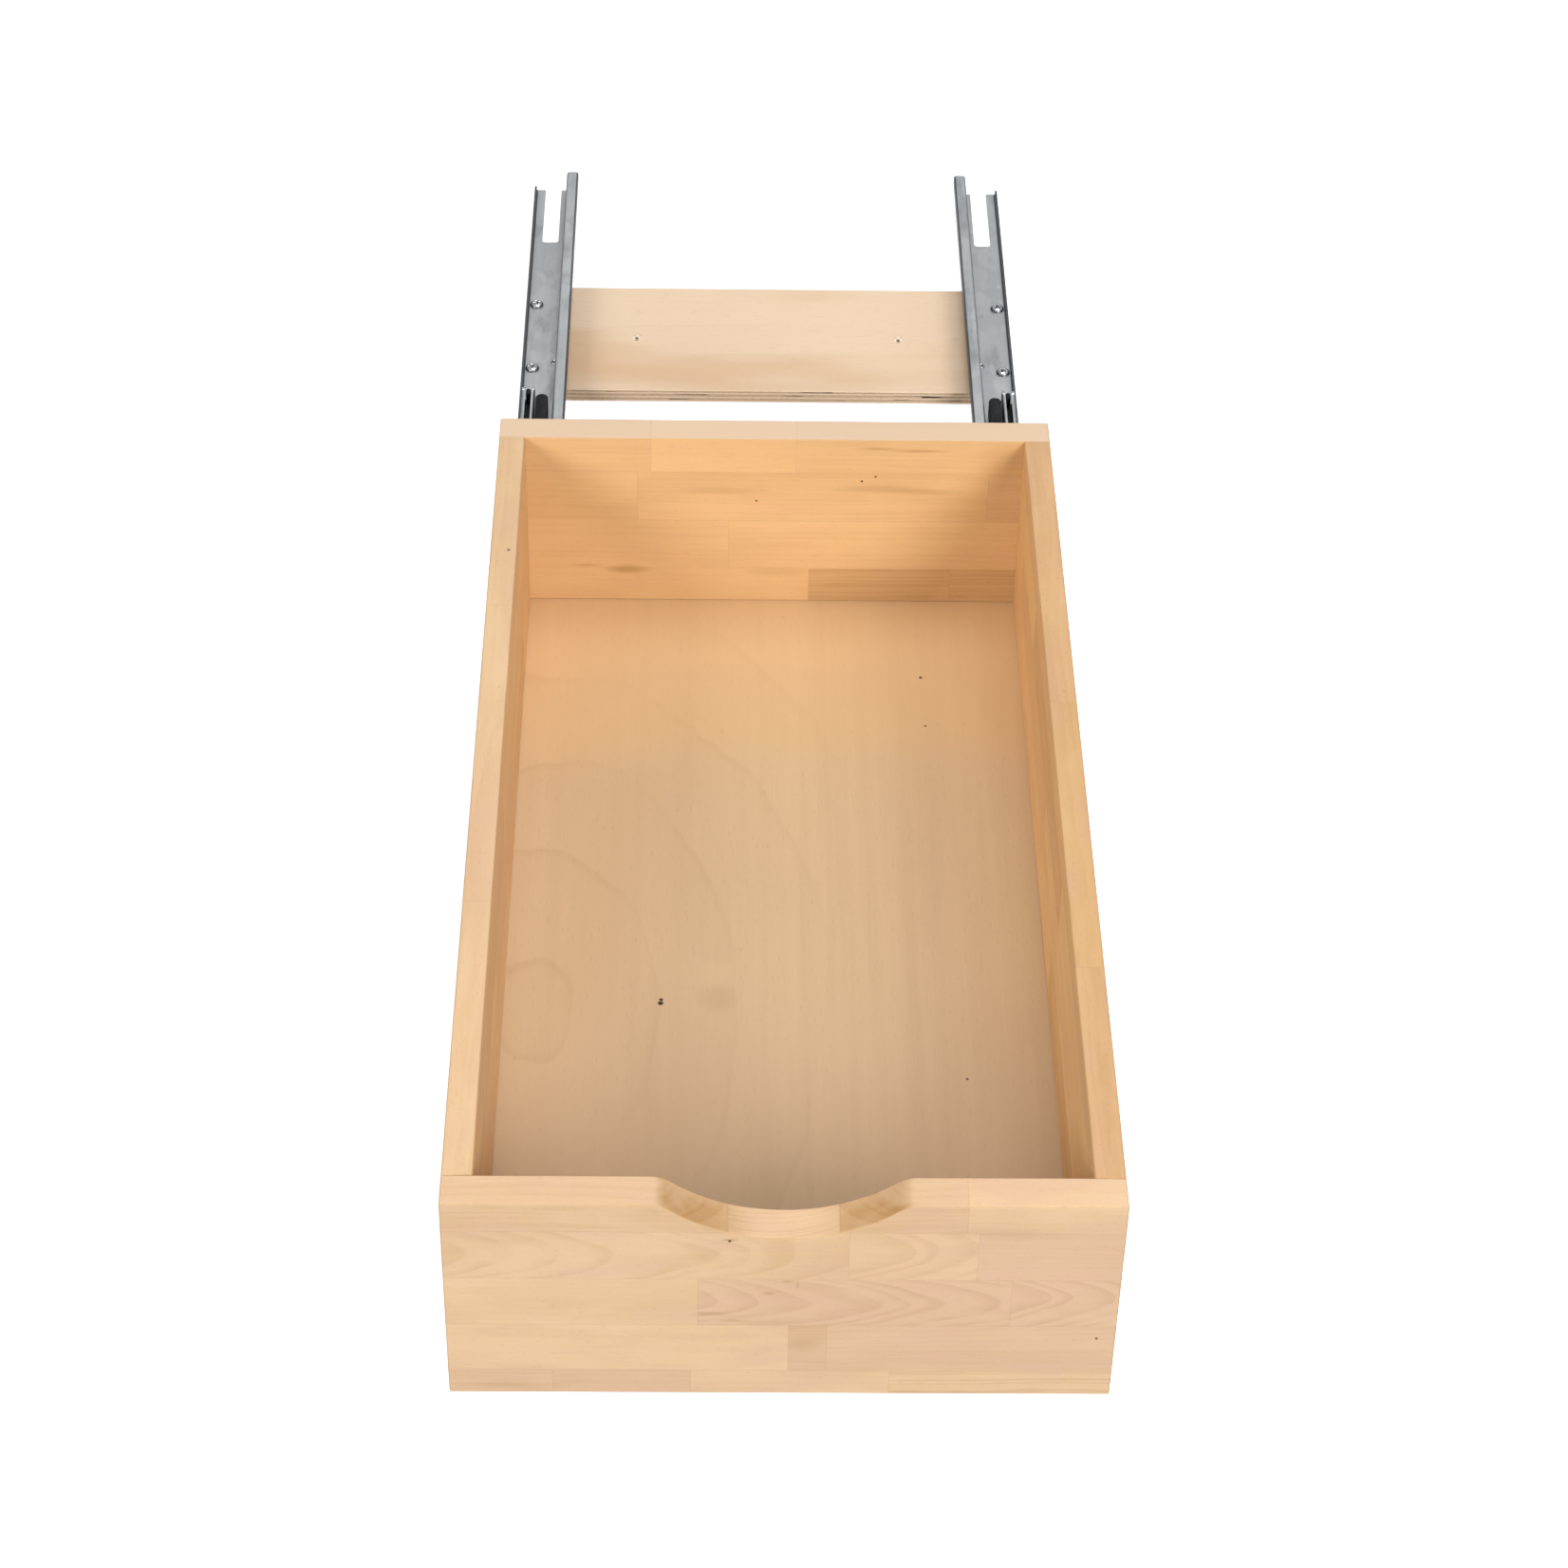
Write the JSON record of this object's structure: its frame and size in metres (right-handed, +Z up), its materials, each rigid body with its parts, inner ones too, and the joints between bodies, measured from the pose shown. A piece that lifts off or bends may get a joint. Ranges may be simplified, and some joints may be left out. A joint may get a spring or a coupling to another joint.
{
  "type": "pull-out drawer",
  "caption": "Open-topped wooden pull-out drawer with a scooped hand cut-out, riding on full-extension steel runners that lie under it and screw to wooden cross boards.",
  "frame": {"origin": "centre of the footprint with the drawer fully pulled out, on the surface that the cross boards are screwed to", "axes": "+X to the right seen from the front, +Y from the drawer front to the rear ends of the rails, which is the way the drawer closes, +Z up out of the open top"},
  "size_m": [0.2864, 0.982, 0.148],
  "materials": {
    "beech": "edge-glued finger-jointed beech, clear satin lacquer",
    "birch_ply": "rotary-cut birch plywood, clear satin lacquer",
    "dowel_beech": "plain turned beech",
    "zinc_screw": "bright zinc-plated",
    "galvanised_steel": "pre-galvanised cold-rolled sheet",
    "roller_steel": "ground and hardened",
    "black_plastic": "moulded acetal",
    "buffer_rubber": "moulded"
  },
  "bodies": {
    "base": {"front_board": "birch_ply", "rear_board": "birch_ply", "front_board_screws": "zinc_screw", "rear_board_screws": "zinc_screw", "left_fixed_rail": "galvanised_steel", "right_fixed_rail": "galvanised_steel", "left_carriage_stop": "buffer_rubber", "right_carriage_stop": "buffer_rubber"},
    "drawer": {"front_panel": "beech", "back_panel": "beech", "left_side_panel": "beech", "right_side_panel": "beech", "bottom_panel": "birch_ply", "front_dowels": "dowel_beech", "rear_dowels": "dowel_beech", "left_drawer_rail": "galvanised_steel", "right_drawer_rail": "galvanised_steel", "drawer_rail_screws": "zinc_screw"},
    "left_middle": {"left_middle_rail": "galvanised_steel", "left_guide_shoe": "black_plastic", "left_channel_stop": "buffer_rubber"},
    "right_middle": {"right_middle_rail": "galvanised_steel", "right_guide_shoe": "black_plastic", "right_channel_stop": "buffer_rubber"},
    "left_roller_carriage": {"left_carriage": "black_plastic", "left_carriage_rollers": "roller_steel"},
    "right_roller_carriage": {"right_carriage": "black_plastic", "right_carriage_rollers": "roller_steel"},
    "left_roller_strip": {"left_channel_cage": "black_plastic", "left_channel_rollers": "roller_steel"},
    "right_roller_strip": {"right_channel_cage": "black_plastic", "right_channel_rollers": "roller_steel"}
  },
  "joints": [
    {"name": "drawer_slide", "type": "slide", "parent": "base", "child": "drawer", "axis": [0, 1, 0], "range_m": [0, 0.426]},
    {"name": "left_middle_slide", "type": "slide", "parent": "base", "child": "left_middle", "axis": [0, 1, 0], "range_m": [0, 0.213]},
    {"name": "right_middle_slide", "type": "slide", "parent": "base", "child": "right_middle", "axis": [0, 1, 0], "range_m": [0, 0.213]},
    {"name": "left_carriage_slide", "type": "slide", "parent": "base", "child": "left_roller_carriage", "axis": [0, 1, 0], "range_m": [0, 0.1065]},
    {"name": "right_carriage_slide", "type": "slide", "parent": "base", "child": "right_roller_carriage", "axis": [0, 1, 0], "range_m": [0, 0.1065]},
    {"name": "left_strip_slide", "type": "slide", "parent": "base", "child": "left_roller_strip", "axis": [0, 1, 0], "range_m": [0, 0.3195]},
    {"name": "right_strip_slide", "type": "slide", "parent": "base", "child": "right_roller_strip", "axis": [0, 1, 0], "range_m": [0, 0.3195]}
  ],
  "couplings": [
    {"joint": "left_middle_slide", "follows": "drawer_slide", "ratio": 0.5},
    {"joint": "right_middle_slide", "follows": "drawer_slide", "ratio": 0.5},
    {"joint": "left_carriage_slide", "follows": "drawer_slide", "ratio": 0.25},
    {"joint": "right_carriage_slide", "follows": "drawer_slide", "ratio": 0.25},
    {"joint": "left_strip_slide", "follows": "drawer_slide", "ratio": 0.75},
    {"joint": "right_strip_slide", "follows": "drawer_slide", "ratio": 0.75}
  ]
}
